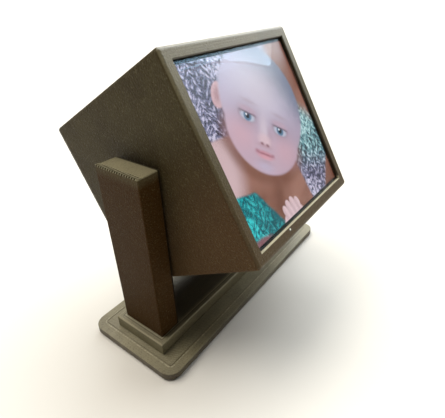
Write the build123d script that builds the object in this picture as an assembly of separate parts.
from build123d import *
import os

# A cube-shaped digital photo frame. The cube carries a square screen in its front face and
# tilts on a cross axis between two posts, which stand on a plinth and a base plate.
# Origin: on the table, under the middle of the cube. +X right, -Y towards the viewer, +Z up.
# All sizes are in millimetres.

# ---------------------------------------------------------------- driving sizes
# Cube
box_width = 83.0
box_depth = 83.0
box_height = 83.0
side_wall = 2.4
front_wall = 1.2
edge_radius = 1.6
rear_cover_thickness = 2.4

# Screen
bezel_width = 5.05                # the front wall's border, left and right of the opening
bezel_height = 5.05               # above and below the opening
opening_edge = 0.35
picture_side_border = 0.52        # dark glass between the opening's side and the picture
picture_top_border = 1.5
picture_bottom_border = 1.22
glass_side_border = 1.3
glass_bottom_border = 1.5
glass_top_border = 3.6
tape_thickness = 0.2
lens_thickness = 0.5
lens_overlap = 1.7                # how far the lens reaches behind the front wall
mask_thickness = 0.1
cell_thickness = 1.2
backlight_thickness = 1.8
tray_thickness = 0.6
tray_lip = 0.4

# Stand
base_left = 64.1                  # from the cube's middle to the base's left end
base_margin = 7.1                 # base beyond the plinth's ends
base_depth = 54.0
base_thickness = 3.2
base_corner_radius = 6.0
groove_inset = 4.4
groove_width = 0.5
groove_depth = 0.2
base_edge = 0.2
pad_thickness = 0.8
pad_inset = 2.0
plinth_height = 6.2
plinth_depth = 30.4
plinth_end_margin = 3.4           # plinth beyond a post's outer face
post_gap = 1.1                    # between the cube's side and a post
post_depth = 24.5
left_post_width = 11.0
right_post_width = 24.5
post_height = 80.4
pivot_below_top = 13.0            # the cross axis, below the posts' tops
post_edge = 0.5
plinth_edge = 0.4

# Tilt
rest_tilt = 29.0                  # how far the screen leans back from upright
most_tilt_back = 90.0             # screen facing straight up
most_tilt_forward = 15.0          # screen leaning forward of upright

# Cross-axis hardware
pin_radius = 3.0
pin_in_post = 8.0
tube_radius = 5.0
tube_bore = 3.5
bush_wall = 2.0
bush_flange = 2.0
bush_flange_thickness = 1.0
pivot_boss_thickness = 3.0
pivot_boss_wall = 3.0
washer_radius = 9.0
spring_washer_thickness = 0.5
spring_washer_rise = 0.5
tab_washer_thickness = 1.0
tab_disc_margin = 1.0
tab_half_angle = 9.0
stop_collar_wall = 3.0
nut_across_flats = 14.0
nut_thickness = 4.0
tube_end = 0.9                    # tube beyond a nut

# Right post's hollow
post_inner_wall = 4.0
post_side_wall = 3.0
post_top_wall = 3.2
post_foot_block = 12.0
post_cover_thickness = 2.4
post_hook_height = 3.0
post_hook_depth = 3.0

# Power inlet
inlet_width = 8.94
inlet_height = 3.26
inlet_length = 7.3
inlet_shell = 0.3
inlet_above_foot_block = 5.0
inlet_board_width = 14.0
inlet_board_length = 12.0
inlet_board_thickness = 1.0
cable_radius = 1.6
cable_to_cover = 2.6
cube_cable_bend = 9.0
cube_cable_straight = 18.0        # from the cube's side to where the cable starts to bend

# Controller board
board_side_gap = 6.1              # between the board and the case's side walls
board_end_gap = 10.1              # above and below the board
board_thickness = 1.6
standoff_length = 5.0
standoff_radius = 2.5
board_hole_inset = 4.0
card_socket_x = 4.0

# Rear cover
cover_lip_height = 3.0
cover_lip_wall = 1.6
corner_boss = 8.0
corner_boss_depth = 12.0
vent_length = 24.0
vent_width = 2.0
vent_pitch = 5.0
vent_rows = 6
vent_column_pitch = 30.0

# Control button, low on the rear cover
button_radius = 4.0
button_proud = 1.2
button_travel = 0.6
button_flange = 1.0
button_flange_thickness = 1.0
button_x = 20.0
button_z = -22.0
button_board_width = 20.0
button_board_height = 14.0
button_board_hole = 2.0
switch_size = 6.0
switch_body = 2.2
switch_height = 3.2                # body and plunger together
plunger_radius = 1.7
plunger_hidden = 1.4              # of the plunger, inside the body

# Status light, in the bezel under the screen
light_x = -16.0
light_above_bottom = 3.7
light_radius = 0.7

# Fasteners
post_screw_radius = 1.5
post_screw_head = 2.9
post_screw_length = 14.0
post_screw_spacing = 13.0
insert_wall = 0.8
post_insert_length = 6.0
small_screw_radius = 1.25
small_screw_head = 2.4
small_screw_length = 7.0
small_insert_length = 5.0
post_cover_screw_spacing = 14.0

# Clearances
slip = 0.2                        # loose fit of one case piece in another
running = 0.03                    # radial, shaft in bush
slide_gap = 0.1                   # axial, between faces that turn on each other
thread_gap = 0.05                 # screw in its insert

# ---------------------------------------------------------------- derived places
# Heights in the stand
base_top = pad_thickness + base_thickness
plinth_top = base_top + plinth_height
post_top = plinth_top + post_height
pivot_height = post_top - pivot_below_top

# Distances across the stand
post_inner_x = box_width / 2 + post_gap
left_post_x = -post_inner_x - left_post_width / 2
right_post_outer = post_inner_x + right_post_width
right_post_body = right_post_width - post_cover_thickness
plinth_left = post_inner_x + left_post_width + plinth_end_margin
plinth_right = right_post_outer + plinth_end_margin
base_right = plinth_right + base_margin
base_length = base_left + base_right
base_middle = (base_right - base_left) / 2
cavity_x0 = post_inner_x + post_inner_wall
cavity_x1 = post_inner_x + right_post_body
cavity_z0 = plinth_top + post_foot_block
cavity_z1 = post_top - post_top_wall

# Depths in the cube, from its middle
box_front = -box_depth / 2
box_back = box_depth / 2
shell_back = box_back - rear_cover_thickness
tape_y = box_front + front_wall
lens_y = tape_y + tape_thickness
mask_y = lens_y + lens_thickness
cell_y = mask_y + mask_thickness
backlight_y = cell_y + cell_thickness
tray_y = backlight_y + backlight_thickness
standoff_y = tray_y + tray_thickness
board_y = standoff_y + standoff_length
board_back = board_y + board_thickness

# The screen glass, from the cube's middle
inside_width = box_width - 2 * side_wall
inside_height = box_height - 2 * side_wall
opening_width = box_width - 2 * bezel_width
opening_height = box_height - 2 * bezel_height
picture_width = opening_width - 2 * picture_side_border
picture_height = opening_height - picture_top_border - picture_bottom_border
picture_z = (picture_bottom_border - picture_top_border) / 2
cell_width = picture_width + 2 * glass_side_border
cell_height = picture_height + glass_bottom_border + glass_top_border
cell_z = picture_z + (glass_top_border - glass_bottom_border) / 2
lens_width = opening_width + 2 * lens_overlap
lens_height = opening_height + 2 * lens_overlap
board_width = inside_width - 2 * board_side_gap
board_height = inside_height - 2 * board_end_gap

# Cross-axis hardware, from the cube's right side inwards
inside_x = box_width / 2 - side_wall
boss_face_x = inside_x - pivot_boss_thickness
flange_face_x = boss_face_x - bush_flange_thickness
spring_x = flange_face_x - slide_gap
tab_x = spring_x - spring_washer_thickness - spring_washer_rise
clutch_nut_x = tab_x - tab_washer_thickness
tube_x0 = clutch_nut_x - nut_thickness - tube_end
tube_x1 = cavity_x0 + nut_thickness + tube_end
tube_boss_radius = tube_radius + bush_wall + pivot_boss_wall
pin_boss_radius = pin_radius + bush_wall + pivot_boss_wall
collar_inner = tube_boss_radius
collar_outer = collar_inner + stop_collar_wall
stand_cable_x = cavity_x1 - cable_to_cover - cable_radius

# Fastener places
corner_x = inside_width / 2 - corner_boss / 2
corner_z = inside_height / 2 - corner_boss / 2
board_screw_x = board_width / 2 - board_hole_inset
board_screw_z = board_height / 2 - board_hole_inset
post_screw_y = post_screw_spacing / 2


# ---------------------------------------------------------------- shape helpers
def block(x0, x1, y0, y1, z0, z1):
    """A box between two corners."""
    centre = Pos((x0 + x1) / 2, (y0 + y1) / 2, (z0 + z1) / 2)
    return centre * Box(x1 - x0, y1 - y0, z1 - z0)


def rod_x(radius, x0, x1):
    """A cylinder on the cross axis, or any line beside it once moved."""
    return Pos((x0 + x1) / 2, 0, 0) * Rot(0, 90, 0) * Cylinder(radius, abs(x1 - x0))


def rod_y(radius, y0, y1):
    """A cylinder along the depth."""
    return Pos(0, (y0 + y1) / 2, 0) * Rot(90, 0, 0) * Cylinder(radius, abs(y1 - y0))


def rod_z(radius, z0, z1):
    """An upright cylinder."""
    return Pos(0, 0, (z0 + z1) / 2) * Cylinder(radius, abs(z1 - z0))


def ring_x(outer, inner, x0, x1):
    """A washer or tube on the cross axis."""
    return rod_x(outer, x0, x1) - rod_x(inner, x0, x1)


def screen_sheet(width, height, y0, thickness, z=0.0):
    """A flat sheet parallel to the screen."""
    return Pos(0, y0 + thickness / 2, z) * Box(width, thickness, height)


def sector_x(outer, inner, x0, x1, start, end):
    """Part of a washer, between two angles counted from the back (+Y) upwards (+Z)."""
    arc = end - start
    flat = Plane.YZ * (Rot(0, 0, start) * sector_face(outer, inner, arc))
    return Pos(x0, 0, 0) * extrude(flat, amount=x1 - x0)


def sector_face(outer, inner, arc):
    """The flat outline of a ring cut to an arc that starts on its own X axis."""
    with BuildSketch() as face:
        with BuildLine():
            outer_arc = CenterArc((0, 0), outer, 0, arc)
            inner_arc = CenterArc((0, 0), inner, 0, arc)
            Line(outer_arc @ 0, inner_arc @ 0)
            Line(outer_arc @ 1, inner_arc @ 1)
        make_face()
    return face.sketch


def hex_nut(bore, x0):
    """A nut on the cross axis, its low face at x0."""
    flat = RegularPolygon(nut_across_flats / 2, 6, major_radius=False) - Circle(bore)
    return Pos(x0, 0, 0) * extrude(Plane.YZ * flat, amount=nut_thickness)


def screw(radius, head_radius, length):
    """A countersunk cross-head screw along +Z, its head's flat top at the origin, shank below."""
    head_height = head_radius - radius
    cross_arm = head_radius * 1.1
    cross_wall = head_radius * 0.26
    head = Pos(0, 0, -head_height / 2) * Cone(radius, head_radius, head_height)
    shank = rod_z(radius, -length, 0)
    recess = Box(cross_arm, cross_wall, head_height) + Box(cross_wall, cross_arm, head_height)
    return head + shank - recess


def screw_hole(radius, head_radius, length):
    """What a screw needs cut from the pieces that it passes through."""
    head_height = head_radius - radius
    grown = radius + slip
    cone = Pos(0, 0, -head_height / 2) * Cone(grown, head_radius + slip, head_height)
    return cone + rod_z(grown, -length, 0)


def insert(screw_radius, length):
    """A knurled brass insert, its mouth at the origin, going down -Z."""
    outer = screw_radius + insert_wall
    neck = 0.25
    body = rod_z(outer, -length, 0) - rod_z(screw_radius + thread_gap, -length, 0)
    waist = rod_z(outer, -length * 0.6, -length * 0.4)
    return body - (waist - rod_z(outer - neck, -length, 0))


def group(shape, places):
    """Identical solids at several places, kept as separate solids."""
    return Compound(children=[Pos(*place) * shape for place in places])


def on_cube(shape):
    """Turns a cube piece to the rest tilt and lifts it to the cross axis."""
    return Pos(0, 0, pivot_height) * Rot(-rest_tilt, 0, 0) * shape


def on_axis(shape):
    """Lifts a stand piece that lies on the cross axis."""
    return Pos(0, 0, pivot_height) * shape


# ---------------------------------------------------------------- stand
def base_outline(inset):
    return RectangleRounded(base_length - 2 * inset, base_depth - 2 * inset, base_corner_radius - inset)


post_screw_places = [
    (x, side * post_screw_y)
    for x in (left_post_x, post_inner_x + right_post_body / 2)
    for side in (-1, 1)
]


def post_screw_holes():
    hole = screw_hole(post_screw_radius, post_screw_head, post_screw_length)
    up = Rot(180, 0, 0) * hole
    return [Pos(x, y, pad_thickness) * up for x, y in post_screw_places]


def make_base_plate():
    plate = extrude(Pos(base_middle, 0, pad_thickness) * base_outline(0), amount=base_thickness)
    plate = fillet(plate.faces().sort_by(Axis.Z)[-1].edges(), base_edge)
    groove_top = Pos(base_middle, 0, base_top)
    groove = groove_top * (base_outline(groove_inset) - base_outline(groove_inset + groove_width))
    plate -= extrude(groove, amount=-groove_depth)
    return plate - post_screw_holes()


def make_anti_slip_pad():
    return extrude(Pos(base_middle, 0, 0) * base_outline(pad_inset), amount=pad_thickness)


def make_plinth():
    plinth = block(-plinth_left, plinth_right, -plinth_depth / 2, plinth_depth / 2, base_top, plinth_top)
    plinth = chamfer(plinth.faces().sort_by(Axis.Z)[-1].edges(), plinth_edge)
    return plinth - post_screw_holes()


def post_insert_holes(shape):
    hole = rod_z(post_screw_radius + insert_wall, plinth_top, plinth_top + post_insert_length)
    tip = rod_z(post_screw_radius + slip, plinth_top, pad_thickness + post_screw_length + slip)
    return shape - [Pos(x, y, 0) * (hole + tip) for x, y in post_screw_places]


def rounded_post(x0, x1):
    """A plain post. Its foot edges stay sharp, where it sits on the plinth."""
    post = block(x0, x1, -post_depth / 2, post_depth / 2, plinth_top, post_top)
    foot = post.faces().sort_by(Axis.Z)[0].edges()
    return post, [edge for edge in post.edges() if edge not in foot]


def make_left_post():
    post, edges = rounded_post(-post_inner_x - left_post_width, -post_inner_x)
    post = fillet(edges, post_edge)
    post -= on_axis(rod_x(pin_radius, -post_inner_x - pin_in_post, -post_inner_x))
    return post_insert_holes(post)


def inlet_place(shape):
    """Moves a power inlet piece to the right post's back wall. Its mouth is the back face."""
    return Pos((cavity_x0 + cavity_x1) / 2, post_depth / 2, cavity_z0 + inlet_above_foot_block) * shape


def rounded_slot(width, height, length, y1=0.0):
    """A stadium-shaped rod along the depth that ends at y1."""
    flat = SlotOverall(width, height)
    return Pos(0, y1, 0) * extrude(Plane.XZ * flat, amount=length)


def post_cover_screw_places():
    z = plinth_top + post_foot_block / 2
    return [(right_post_outer, side * post_cover_screw_spacing / 2, z) for side in (-1, 1)]


def make_right_post():
    wall_y = post_depth / 2 - post_side_wall
    post, edges = rounded_post(post_inner_x, right_post_outer)
    post = fillet(edges, post_edge)
    post &= block(post_inner_x, cavity_x1, -post_depth, post_depth, plinth_top, post_top)
    post -= block(cavity_x0, cavity_x1, -wall_y, wall_y, cavity_z0, cavity_z1)
    post += inlet_ledges()
    post -= on_axis(rod_x(tube_radius, post_inner_x, cavity_x0))
    post -= inlet_place(rounded_slot(inlet_width, inlet_height, post_side_wall))
    tap = Rot(0, 90, 0) * rod_z(small_screw_radius, -small_screw_length, 0)
    post -= [Pos(*place) * tap for place in post_cover_screw_places()]
    return post_insert_holes(post)


def inlet_ledges():
    """Two ribs on the foot block that hold the inlet's board by its long edges."""
    middle = (cavity_x0 + cavity_x1) / 2
    wall_y = post_depth / 2 - post_side_wall
    top = cavity_z0 + inlet_above_foot_block - inlet_height / 2 - inlet_board_thickness
    reach = inlet_board_width / 2
    rib = 2.0
    left = block(middle - reach, middle - reach + rib, wall_y - inlet_board_length, wall_y, cavity_z0, top)
    right = block(middle + reach - rib, middle + reach, wall_y - inlet_board_length, wall_y, cavity_z0, top)
    return left + right


def make_right_post_cover():
    wall_y = post_depth / 2 - post_side_wall
    post, edges = rounded_post(post_inner_x, right_post_outer)
    post = fillet(edges, post_edge)
    plate = post & block(cavity_x1, right_post_outer, -post_depth, post_depth, plinth_top, post_top)
    hook_top = cavity_z1 - slip
    plate += block(
        cavity_x1 - post_hook_depth, cavity_x1, -wall_y + slip, wall_y - slip,
        hook_top - post_hook_height, hook_top,
    )
    hole = Rot(0, 90, 0) * screw_hole(small_screw_radius, small_screw_head, small_screw_length)
    return plate - [Pos(*place) * hole for place in post_cover_screw_places()]


def make_post_cover_screws():
    one = Rot(0, 90, 0) * screw(small_screw_radius, small_screw_head, small_screw_length)
    return group(one, post_cover_screw_places())


def make_post_screws():
    one = Rot(180, 0, 0) * screw(post_screw_radius, post_screw_head, post_screw_length)
    return group(one, [(x, y, pad_thickness) for x, y in post_screw_places])


def make_post_inserts():
    one = Rot(180, 0, 0) * insert(post_screw_radius, post_insert_length)
    return group(one, [(x, y, plinth_top) for x, y in post_screw_places])


# ---------------------------------------------------------------- cross axis
def make_pivot_pin():
    """The left pin: pressed into the post, turning in the cube's left bush."""
    chamfer_size = 0.5
    pin = rod_x(pin_radius, -post_inner_x - pin_in_post, -flange_face_x + tube_end)
    return on_axis(chamfer(pin.edges().sort_by(Axis.X)[-1], chamfer_size))


def make_pivot_tube():
    """The right pivot: a hollow threaded tube, so that the power cable can pass."""
    return on_axis(ring_x(tube_radius, tube_bore, tube_x0, tube_x1))


def make_thrust_washers():
    thickness = post_gap - slide_gap
    left = ring_x(washer_radius, pin_radius, -post_inner_x, -post_inner_x + thickness)
    right = ring_x(washer_radius, tube_radius, post_inner_x - thickness, post_inner_x)
    return on_axis(Compound(children=[left, right]))


def make_tube_nut():
    return on_axis(hex_nut(tube_radius, cavity_x0))


def make_clutch_nut():
    return on_axis(hex_nut(tube_radius, clutch_nut_x - nut_thickness))


def make_spring_washer():
    """A coned washer that presses the cube's bush towards the post and holds the tilt."""
    outer = tube_radius + bush_wall
    wide = Line((tube_radius, 0), (outer, spring_washer_rise))
    tall = Line(wide @ 1, (outer, spring_washer_rise + spring_washer_thickness))
    back = Line(tall @ 1, (tube_radius, spring_washer_thickness))
    foot = Line(back @ 1, wide @ 0)
    section = make_face([wide, tall, back, foot])
    cone = revolve(Plane.XZ * section, Axis.Z)
    return on_axis(Pos(tab_x, 0, 0) * Rot(0, 90, 0) * cone)


def make_tab_washer():
    """Locked to the tube. Its tab swings in the gap of the cube's stop collar."""
    down = -90.0
    disc = ring_x(collar_inner - tab_disc_margin, tube_radius, clutch_nut_x, tab_x)
    reach = collar_outer - slip
    inside = tube_radius + bush_wall
    tab = sector_x(reach, inside, clutch_nut_x, tab_x, down - tab_half_angle, down + tab_half_angle)
    return on_axis(disc + tab)


def make_pivot_bushes():
    left = bush(pin_radius)
    right = bush(tube_radius)
    return on_cube(Compound(children=[mirror(left, Plane.YZ), right]))


def bush(shaft_radius):
    """A flanged bush in the cube's right wall, its flange on the inside."""
    outer = shaft_radius + bush_wall
    sleeve = rod_x(outer, boss_face_x, box_width / 2)
    flange = rod_x(outer + bush_flange, flange_face_x, boss_face_x)
    return sleeve + flange - rod_x(shaft_radius + running, flange_face_x, box_width / 2)


# ---------------------------------------------------------------- power in the right post
def make_power_inlet():
    body = rounded_slot(inlet_width, inlet_height, inlet_length)
    hollow = rounded_slot(
        inlet_width - 2 * inlet_shell, inlet_height - 2 * inlet_shell, inlet_length - inlet_shell
    )
    return inlet_place(body - hollow)


def make_inlet_tongue():
    """The inlet's insulator with its contact tongue."""
    tongue_width = 6.7
    tongue_height = 0.7
    heel = 1.6
    back = -inlet_length + inlet_shell
    inner_width = inlet_width - 2 * inlet_shell
    inner_height = inlet_height - 2 * inlet_shell
    block_part = rounded_slot(inner_width, inner_height, heel, back + heel)
    tongue = Pos(0, back / 2 + heel / 2, 0) * Box(tongue_width, -back - heel, tongue_height)
    return inlet_place(block_part + tongue)


def inlet_board_top():
    return -inlet_height / 2


def make_inlet_board():
    back = -post_side_wall - slip
    top = inlet_board_top()
    board = block(
        -inlet_board_width / 2, inlet_board_width / 2, back - inlet_board_length + 2 * slip, back,
        top - inlet_board_thickness, top,
    )
    return inlet_place(board)


def make_stand_cable():
    """From the inlet's board up the post and into the tube, to the middle of its length."""
    board_top = cavity_z0 + inlet_above_foot_block + inlet_board_top()
    start = (stand_cable_x, 0, board_top)
    corner = (stand_cable_x, 0, pivot_height)
    end = (box_width / 2, 0, pivot_height)
    return tube_along([start, corner, end], stand_cable_x - tube_x1, cable_radius)


def tube_along(points, bend, radius):
    """A round cable with tangent bends."""
    path = FilletPolyline(*points, radius=bend)
    start = path @ 0
    section = Plane(origin=start, z_dir=path % 0) * Circle(radius)
    return sweep(section, path=path)


# ---------------------------------------------------------------- cube: case
def outer_cube():
    cube = Box(box_width, box_depth, box_height)
    return fillet(cube.edges(), edge_radius)


def make_housing_shell():
    """The front bezel and four sides in one piece, open at the back."""
    shell = outer_cube()
    shell &= block(-box_width, box_width, -box_depth, shell_back, -box_height, box_height)
    shell -= block(
        -inside_width / 2, inside_width / 2, tape_y, shell_back, -inside_height / 2, inside_height / 2
    )
    shell -= screen_opening()
    shell += corner_bosses()
    shell += rod_x(tube_boss_radius, boss_face_x, inside_x)
    shell += rod_x(pin_boss_radius, -inside_x, -boss_face_x)
    shell += make_stop_collar()
    shell -= rod_x(tube_radius + bush_wall, boss_face_x, box_width / 2)
    shell -= rod_x(pin_radius + bush_wall, -box_width / 2, -boss_face_x)
    shell -= Pos(light_x, 0, light_z()) * rod_y(light_radius, box_front, tape_y)
    return on_cube(shell)


def screen_opening():
    opening = screen_sheet(opening_width, opening_height, box_front, front_wall)
    grown = Rectangle(opening_width + 2 * opening_edge, opening_height + 2 * opening_edge)
    flare = loft([
        Plane.XZ.offset(-box_front) * grown,
        Plane.XZ.offset(-box_front - opening_edge) * Rectangle(opening_width, opening_height),
    ])
    return opening + flare


def light_z():
    return light_above_bottom - box_height / 2


def corner_places():
    return [(sx * corner_x, shell_back, sz * corner_z) for sx in (-1, 1) for sz in (-1, 1)]


def corner_bosses():
    reach = corner_boss / 2
    one = block(-reach, reach, -corner_boss_depth, 0, -reach, reach)
    hole = Rot(-90, 0, 0) * rod_z(small_screw_radius + insert_wall, -small_insert_length, 0)
    deep = Rot(-90, 0, 0) * rod_z(small_screw_radius + slip, -small_screw_length, 0)
    return [Pos(*place) * (one - hole - deep) for place in corner_places()]


def make_stop_collar():
    """A collar round the right boss. Its gap lets the tab turn from one limit to the other."""
    down = -90.0
    play = 0.5
    lowest = down + rest_tilt - (rest_tilt + most_tilt_forward)
    highest = down + rest_tilt + (most_tilt_back - rest_tilt)
    gap_start = lowest - tab_half_angle - play
    gap_end = highest + tab_half_angle + play
    return sector_x(
        collar_outer, collar_inner, clutch_nut_x - slip, inside_x, gap_end, gap_start + 360.0
    )


def make_cover_inserts():
    one = Rot(-90, 0, 0) * insert(small_screw_radius, small_insert_length)
    return on_cube(group(one, corner_places()))


def make_cover_screws():
    one = Rot(-90, 0, 0) * screw(small_screw_radius, small_screw_head, small_screw_length)
    return on_cube(group(one, [(x, box_back, z) for x, _, z in corner_places()]))


def cover_lip():
    """Four straight ribs, between the corner bosses, that locate the cover in the shell."""
    rib_x = inside_width - 2 * corner_boss - 2 * slip
    rib_z = inside_height - 2 * corner_boss - 2 * slip
    y = shell_back - cover_lip_height / 2
    place_x = inside_width / 2 - slip - cover_lip_wall / 2
    place_z = inside_height / 2 - slip - cover_lip_wall / 2
    flat = Box(rib_x, cover_lip_height, cover_lip_wall)
    upright = Box(cover_lip_wall, cover_lip_height, rib_z)
    ribs = [Pos(0, y, side * place_z) * flat for side in (-1, 1)]
    return ribs + [Pos(side * place_x, y, 0) * upright for side in (-1, 1)]


def button_board_posts():
    """Two posts that hold the button's board off the cover."""
    length = button_board_y() + board_thickness
    reach = button_board_width / 2 - button_board_hole
    peg = rod_y(button_board_hole, length, shell_back)
    return [Pos(button_x + side * reach, 0, button_z) * peg for side in (-1, 1)]


def button_board_y():
    """The inner face of the button's board: behind it come the switch and then the button."""
    return button_flange_y() - switch_height - board_thickness


def button_flange_y():
    """The inner face of the button's flange at rest."""
    return shell_back - button_flange_thickness


def make_rear_cover():
    cover = outer_cube() & block(-box_width, box_width, shell_back, box_depth, -box_height, box_height)
    cover += cover_lip()
    cover += button_board_posts()
    hole = Rot(-90, 0, 0) * screw_hole(small_screw_radius, small_screw_head, small_screw_length)
    cover -= [Pos(x, box_back, z) * hole for x, _, z in corner_places()]
    cover -= vents()
    cover -= Pos(button_x, 0, button_z) * rod_y(button_radius + slip, shell_back, box_back)
    return on_cube(cover)


def vents():
    """Two columns of slots in the upper half of the cover."""
    slot = rounded_slot(vent_length, vent_width, rear_cover_thickness)
    middle_z = box_height / 5
    columns = [-vent_column_pitch / 2, vent_column_pitch / 2]
    rows = [(row - (vent_rows - 1) / 2) * vent_pitch for row in range(vent_rows)]
    return [Pos(x, box_back, middle_z + z) * slot for x in columns for z in rows]


def make_status_light_pipe():
    return on_cube(Pos(light_x, 0, light_z()) * rod_y(light_radius, box_front, tape_y))


# ---------------------------------------------------------------- cube: screen
def make_lens_tape():
    """Black tape that bonds the lens to the back of the front wall."""
    tape_clear = 0.4
    tape = screen_sheet(lens_width, lens_height, tape_y, tape_thickness)
    clear = screen_sheet(opening_width + tape_clear, opening_height + tape_clear, tape_y, tape_thickness)
    light = Pos(light_x, 0, light_z()) * rod_y(light_radius, tape_y, lens_y)
    return on_cube(tape - clear - light)


def make_cover_lens():
    return on_cube(screen_sheet(lens_width, lens_height, lens_y, lens_thickness))


def make_screen_mask():
    """The black border printed on the lens."""
    sheet = screen_sheet(lens_width, lens_height, mask_y, mask_thickness)
    clear = screen_sheet(picture_width, picture_height, mask_y, mask_thickness, picture_z)
    light = Pos(light_x, 0, light_z()) * rod_y(light_radius, mask_y, cell_y)
    return on_cube(sheet - clear - light)


def make_lcd_cell():
    return on_cube(screen_sheet(cell_width, cell_height, cell_y, cell_thickness, cell_z))


def make_backlight():
    width = cell_width - 2 * tray_lip
    height = cell_height - 2 * tray_lip
    return on_cube(screen_sheet(width, height, backlight_y, backlight_thickness, cell_z))


def make_panel_tray():
    """A steel pan behind the backlight, with folded lips round its edge."""
    pan = screen_sheet(cell_width, cell_height, backlight_y, backlight_thickness + tray_thickness, cell_z)
    width = cell_width - 2 * tray_lip
    height = cell_height - 2 * tray_lip
    return on_cube(pan - screen_sheet(width, height, backlight_y, backlight_thickness, cell_z))


def make_status_led():
    led_width = 1.6
    led_height = 0.9
    led_depth = 0.6
    return on_cube(Pos(light_x, 0, light_z()) * screen_sheet(led_width, led_height, cell_y, led_depth))


def make_led_board():
    led_depth = 0.6
    width = 8.0
    height = 1.6
    thickness = 0.8
    sheet = screen_sheet(width, height, cell_y + led_depth, thickness)
    return on_cube(Pos(light_x, 0, light_z()) * sheet)


# ---------------------------------------------------------------- cube: controller
def board_screw_places(y):
    return [(sx * board_screw_x, y, sz * board_screw_z) for sx in (-1, 1) for sz in (-1, 1)]


def make_board_standoffs():
    one = rod_y(standoff_radius, 0, standoff_length)
    one -= rod_y(small_screw_radius + thread_gap, 0, standoff_length)
    return on_cube(group(one, board_screw_places(standoff_y)))


def make_board_screws():
    head_height = 1.4
    shank = rod_y(small_screw_radius, -board_thickness - standoff_length + slip, 0)
    head = rod_y(small_screw_head, 0, head_height) - Pos(0, head_height, 0) * Box(2.6, 1.4, 0.6)
    return on_cube(group(shank + head, board_screw_places(board_back)))


def make_controller_board():
    board = screen_sheet(board_width, board_height, board_y, board_thickness)
    board = fillet(board.edges().filter_by(Axis.Y), board_hole_inset / 2)
    hole = rod_y(small_screw_radius + slip, 0, board_thickness)
    return on_cube(board - [Pos(*place) * hole for place in board_screw_places(board_y)])


def component(width, height, depth, x, z):
    """A plain part soldered to the back of the controller board."""
    return Pos(x, board_back + depth / 2, z) * Box(width, depth, height)


def make_processor_module():
    carrier = component(18.0, 25.5, 0.8, -18.0, 4.0)
    can = Pos(0, 0.8, 0) * component(16.0, 18.0, 2.4, -18.0, 1.5)
    return on_cube(carrier + can)


def make_chips():
    """The memory, the panel driver and the voltage regulator."""
    memory = component(6.0, 5.0, 0.9, 2.0, 8.0)
    driver = component(9.0, 9.0, 1.0, 26.0, -6.0)
    regulator = component(3.0, 3.0, 1.1, 20.0, 12.0)
    return on_cube(Compound(children=[memory, driver, regulator]))


def make_inductor():
    core = component(5.0, 5.0, 3.0, 27.0, 12.0)
    return on_cube(fillet(core.edges().filter_by(Plane.XZ, reverse=True), 1.0))


def card_socket_z():
    return -board_height / 2 + 8.0


def make_card_socket():
    """A push-in socket for a small memory card. Its mouth is at the board's lower edge."""
    body = component(14.0, 15.0, 1.9, card_socket_x, card_socket_z())
    slot = Pos(0, 0.4, 0) * component(11.2, 15.0, 1.0, card_socket_x, card_socket_z() - 1.0)
    return on_cube(body - slot)


def make_memory_card():
    card = Pos(0, 0.5, 0) * component(11.0, 15.0, 0.8, card_socket_x, card_socket_z() - 1.6)
    return on_cube(card)


def make_panel_connector():
    return on_cube(component(24.0, 4.6, 2.0, 0, board_height / 2 - 3.0))


def make_panel_flex():
    """The screen's flat flexible tail, up over the board's edge and down into its connector."""
    width = 21.0
    thickness = 0.2
    top = cell_z + cell_height / 2
    lead = 1.2
    reach_y = board_back + 1.0
    bend = 1.6
    crest = board_height / 2 + 5.0
    socket_top = board_height / 2 - 0.7
    start = (standoff_y, crest - 4.0)
    line = FilletPolyline(
        start, (standoff_y + lead, crest - 4.0 + lead), (standoff_y + lead, crest),
        (reach_y + thickness / 2, crest), (reach_y + thickness / 2, socket_top), radius=bend / 2,
    )
    ribbon = Plane.YZ * line
    section_plane = Plane(origin=ribbon @ 0, z_dir=ribbon % 0, x_dir=(1, 0, 0))
    strip = sweep(section_plane * Rectangle(width, thickness), path=ribbon)
    return on_cube(strip & block(-width, width, standoff_y, box_back, socket_top, top + crest))


def make_power_socket():
    size = 6.0
    depth = 5.0
    body = component(size + 2.0, size, depth, cable_drop_x(), 0)
    hollow = Pos(0, 1.0, 0) * component(size, size - 2.0, depth - 1.0, cable_drop_x(), 0)
    return on_cube(body - hollow)


def make_power_plug():
    size = 6.0
    plug = Pos(0, 1.0, 0) * component(size, size - 2.0, 6.0, cable_drop_x(), 0)
    return on_cube(plug)


def cable_drop_x():
    """Where the cube's cable runs forward to the board."""
    return box_width / 2 - cube_cable_straight - cube_cable_bend


def make_cube_cable():
    """From the middle of the tube to the plug on the controller board."""
    x = cable_drop_x()
    plug_back = board_back + 7.0
    points = [(box_width / 2, 0, 0), (x, 0, 0), (x, plug_back, 0)]
    return on_cube(tube_along(points, cube_cable_bend, cable_radius))


# ---------------------------------------------------------------- cube: control button
def make_button_board():
    board = screen_sheet(button_board_width, button_board_height, button_board_y(), board_thickness)
    return on_cube(Pos(button_x, 0, button_z) * board)


def switch_y():
    """The face of the button's board that carries the switch."""
    return button_board_y() + board_thickness


def make_button_switch():
    body = screen_sheet(switch_size, switch_size, switch_y(), switch_body)
    body -= rod_y(plunger_radius + slide_gap, switch_y() + switch_body - plunger_room(), switch_y() + switch_body)
    return on_cube(Pos(button_x, 0, button_z) * body)


def plunger_room():
    """How deep the switch's hollow has to be for the plunger and its travel."""
    return plunger_hidden + button_travel + slide_gap


def make_switch_plunger():
    """The switch's sprung plunger, which stays against the button's flange."""
    plunger = rod_y(plunger_radius, switch_y() + switch_body - plunger_hidden, button_flange_y())
    return on_cube(Pos(button_x, 0, button_z) * plunger)


def make_button_wires():
    """Three wires in one sleeve, from the button's board straight to the controller."""
    radius = 1.0
    wires = rod_y(radius, board_back, button_board_y())
    return on_cube(Pos(button_x, 0, button_z + 4.0) * wires)


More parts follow.
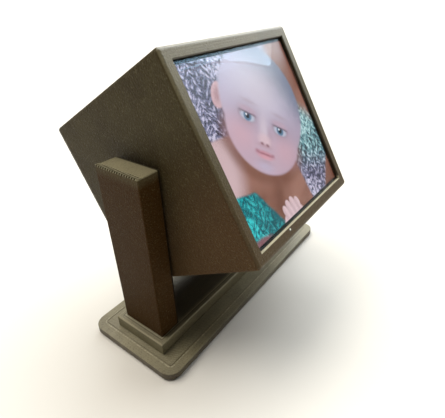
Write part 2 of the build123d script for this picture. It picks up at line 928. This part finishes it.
def make_control_button():
    """A cap with a flange inside the cover, which keeps it from falling out."""
    cap = rod_y(button_radius, button_flange_y(), box_back + button_proud)
    cap = fillet(cap.edges().sort_by(Axis.Y)[-1], 0.6)
    flange = rod_y(button_radius + slip + button_flange, button_flange_y(), shell_back - slide_gap)
    return on_cube(Pos(button_x, 0, button_z) * (cap + flange))


# ---------------------------------------------------------------- write every piece
pieces = {
    "base_plate": make_base_plate,
    "plinth": make_plinth,
    "anti_slip_pad": make_anti_slip_pad,
    "left_post": make_left_post,
    "right_post": make_right_post,
    "right_post_cover": make_right_post_cover,
    "post_screws": make_post_screws,
    "post_inserts": make_post_inserts,
    "post_cover_screws": make_post_cover_screws,
    "pivot_pin": make_pivot_pin,
    "pivot_tube": make_pivot_tube,
    "thrust_washers": make_thrust_washers,
    "tube_nut": make_tube_nut,
    "clutch_nut": make_clutch_nut,
    "spring_washer": make_spring_washer,
    "tab_washer": make_tab_washer,
    "power_inlet": make_power_inlet,
    "inlet_tongue": make_inlet_tongue,
    "inlet_board": make_inlet_board,
    "stand_cable": make_stand_cable,
    "housing_shell": make_housing_shell,
    "rear_cover": make_rear_cover,
    "cover_screws": make_cover_screws,
    "cover_inserts": make_cover_inserts,
    "pivot_bushes": make_pivot_bushes,
    "status_light_pipe": make_status_light_pipe,
    "lens_tape": make_lens_tape,
    "cover_lens": make_cover_lens,
    "screen_mask": make_screen_mask,
    "lcd_cell": make_lcd_cell,
    "backlight": make_backlight,
    "panel_tray": make_panel_tray,
    "status_led": make_status_led,
    "led_board": make_led_board,
    "board_standoffs": make_board_standoffs,
    "board_screws": make_board_screws,
    "controller_board": make_controller_board,
    "processor_module": make_processor_module,
    "chips": make_chips,
    "inductor": make_inductor,
    "card_socket": make_card_socket,
    "memory_card": make_memory_card,
    "panel_connector": make_panel_connector,
    "panel_flex": make_panel_flex,
    "power_socket": make_power_socket,
    "power_plug": make_power_plug,
    "cube_cable": make_cube_cable,
    "button_board": make_button_board,
    "button_switch": make_button_switch,
    "switch_plunger": make_switch_plunger,
    "button_wires": make_button_wires,
    "control_button": make_control_button,
}

os.makedirs("parts", exist_ok=True)
for node, make in pieces.items():
    export_step(make(), f"parts/{node}.step")
